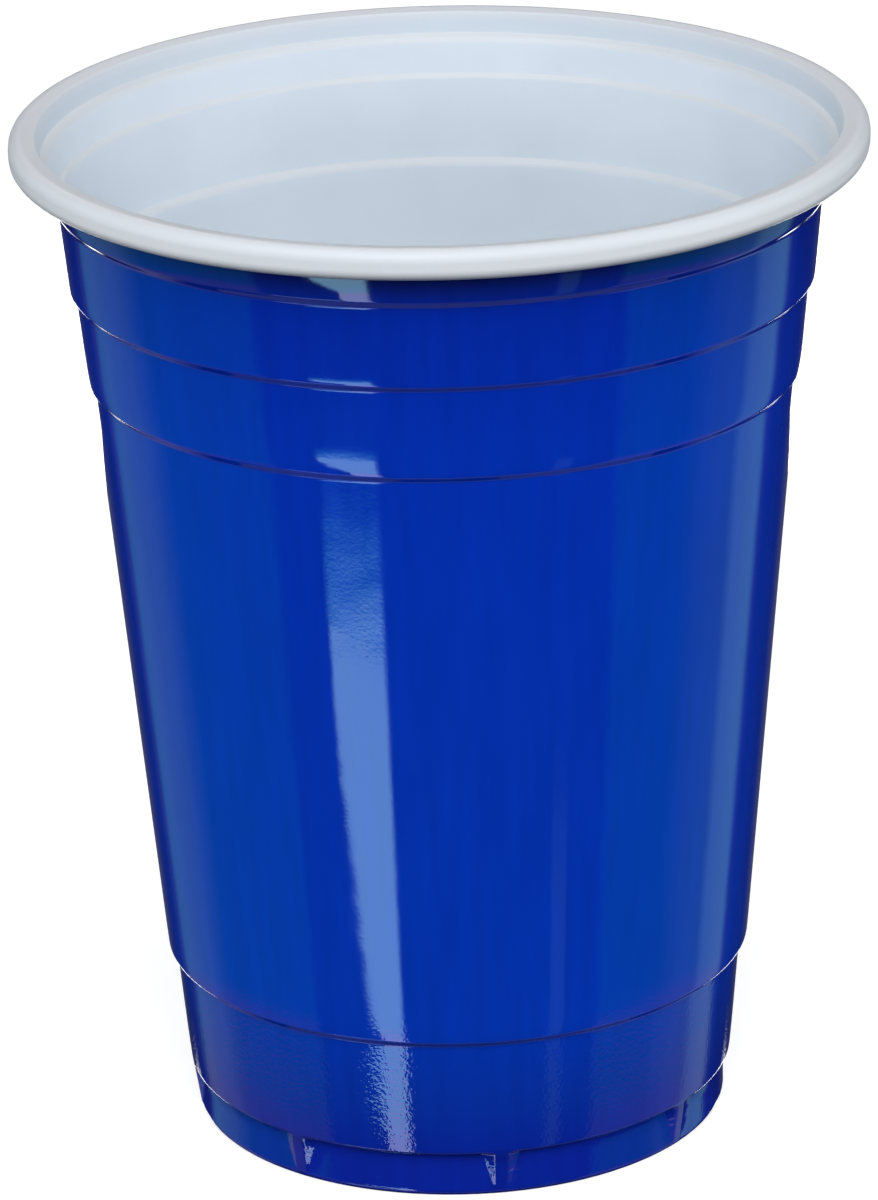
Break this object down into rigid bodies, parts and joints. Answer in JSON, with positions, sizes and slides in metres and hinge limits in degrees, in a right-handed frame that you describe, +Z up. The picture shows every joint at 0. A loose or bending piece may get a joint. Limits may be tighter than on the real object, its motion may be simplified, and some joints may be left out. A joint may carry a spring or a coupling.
{
  "type": "plastic cup",
  "caption": "Disposable drinking cup with a tapered, ledged body, a rolled rim, a raised base and stacking lugs round its foot; holds a cold drink and nests in others.",
  "frame": {"origin": "centre of the foot, on the surface that the cup stands on", "axes": "+Z up along the cup's axis; one stacking lug of the eight points along -Y, the side nearest the picture's view"},
  "size_m": [0.095, 0.095, 0.1165],
  "materials": {
    "blue_polystyrene": "glossy royal blue outside, white inside and over the rolled rim"
  },
  "bodies": {
    "root": {"cup": "blue_polystyrene"}
  },
  "joints": []
}
